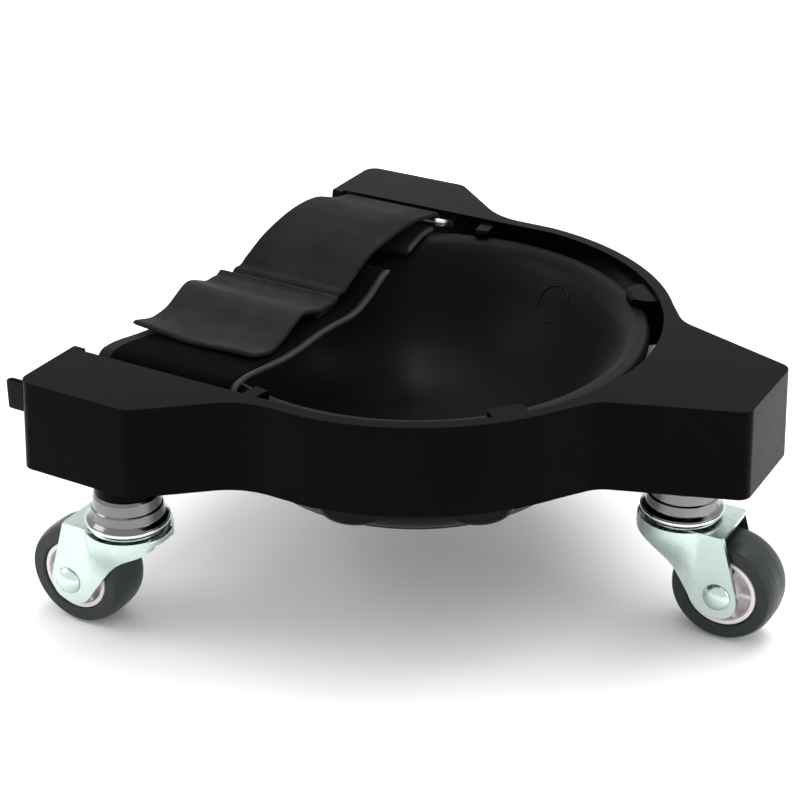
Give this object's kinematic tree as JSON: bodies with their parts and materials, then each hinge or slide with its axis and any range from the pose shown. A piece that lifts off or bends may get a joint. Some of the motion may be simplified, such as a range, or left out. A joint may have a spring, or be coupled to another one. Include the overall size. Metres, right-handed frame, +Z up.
{
  "type": "rolling knee creeper",
  "caption": "Low three-lobed moulded creeper with a padded knee cup, a hook-and-loop strap over the shin channel and small swivel casters under its lobes.",
  "frame": {"origin": "on the floor, under the middle of the bounding box", "axes": "+Z up; +X from the strap towards the single front lobe; +Y towards the lobe that the strap is hinged on"},
  "size_m": [0.252, 0.2478, 0.1092],
  "materials": {
    "frame_plastic": "glossy moulded, satin deck",
    "shell_plastic": "glossy moulded",
    "liner_rubber": "satin",
    "strap_fabric": "woven over soft backing",
    "loop_fabric": "napped loop pile",
    "steel": "bright machined",
    "zinc_plate": "bright zinc plated",
    "chrome": "polished",
    "wheel_plastic": "satin moulded",
    "tyre_polyurethane": "satin"
  },
  "bodies": {
    "platform": {"frame": "frame_plastic", "cup_shell": "shell_plastic", "cup_liner": "liner_rubber", "strap_loop_band": "loop_fabric", "strap_bail": "steel", "strap_tail": "strap_fabric", "clamp_bar": "steel", "clamp_screw_1": "steel", "clamp_screw_2": "steel", "clamp_screw_3": "steel", "insert_front": "steel", "stem_front": "steel", "jam_nut_front": "chrome", "upper_race_front": "chrome", "retaining_washer_front": "steel", "insert_left": "steel", "stem_left": "steel", "jam_nut_left": "chrome", "upper_race_left": "chrome", "retaining_washer_left": "steel", "insert_right": "steel", "stem_right": "steel", "jam_nut_right": "chrome", "upper_race_right": "chrome", "retaining_washer_right": "steel"},
    "strap": {"strap_flap": "strap_fabric", "hook_tab": "strap_fabric"},
    "caster_front": {"fork_front": "zinc_plate", "ball_ring_front": "steel", "axle_front": "zinc_plate", "spacer_near_front": "steel", "spacer_far_front": "steel"},
    "wheel_front": {"hub_front": "wheel_plastic", "tyre_front": "tyre_polyurethane", "bush_front": "steel"},
    "caster_left": {"fork_left": "zinc_plate", "ball_ring_left": "steel", "axle_left": "zinc_plate", "spacer_near_left": "steel", "spacer_far_left": "steel"},
    "wheel_left": {"hub_left": "wheel_plastic", "tyre_left": "tyre_polyurethane", "bush_left": "steel"},
    "caster_right": {"fork_right": "zinc_plate", "ball_ring_right": "steel", "axle_right": "zinc_plate", "spacer_near_right": "steel", "spacer_far_right": "steel"},
    "wheel_right": {"hub_right": "wheel_plastic", "tyre_right": "tyre_polyurethane", "bush_right": "steel"}
  },
  "joints": [
    {"name": "strap_peel", "type": "hinge", "parent": "platform", "child": "strap", "pos_m": [-0.0837, 0.0825, 0.0996], "axis": [-1, 0, 0], "range_deg": [0, 110]},
    {"name": "swivel_front", "type": "hinge", "parent": "platform", "child": "caster_front", "pos_m": [0.086, 0, 0.045], "axis": [0, 0, 1], "continuous": true},
    {"name": "swivel_left", "type": "hinge", "parent": "platform", "child": "caster_left", "pos_m": [-0.085, 0.106, 0.045], "axis": [0, 0, 1], "continuous": true},
    {"name": "swivel_right", "type": "hinge", "parent": "platform", "child": "caster_right", "pos_m": [-0.085, -0.106, 0.045], "axis": [0, 0, 1], "continuous": true},
    {"name": "roll_front", "type": "hinge", "parent": "caster_front", "child": "wheel_front", "pos_m": [0.106, 0, 0.02], "axis": [0, 1, 0], "continuous": true},
    {"name": "roll_left", "type": "hinge", "parent": "caster_left", "child": "wheel_left", "pos_m": [-0.105, 0.106, 0.02], "axis": [0, 1, 0], "continuous": true},
    {"name": "roll_right", "type": "hinge", "parent": "caster_right", "child": "wheel_right", "pos_m": [-0.105, -0.106, 0.02], "axis": [0, 1, 0], "continuous": true}
  ]
}
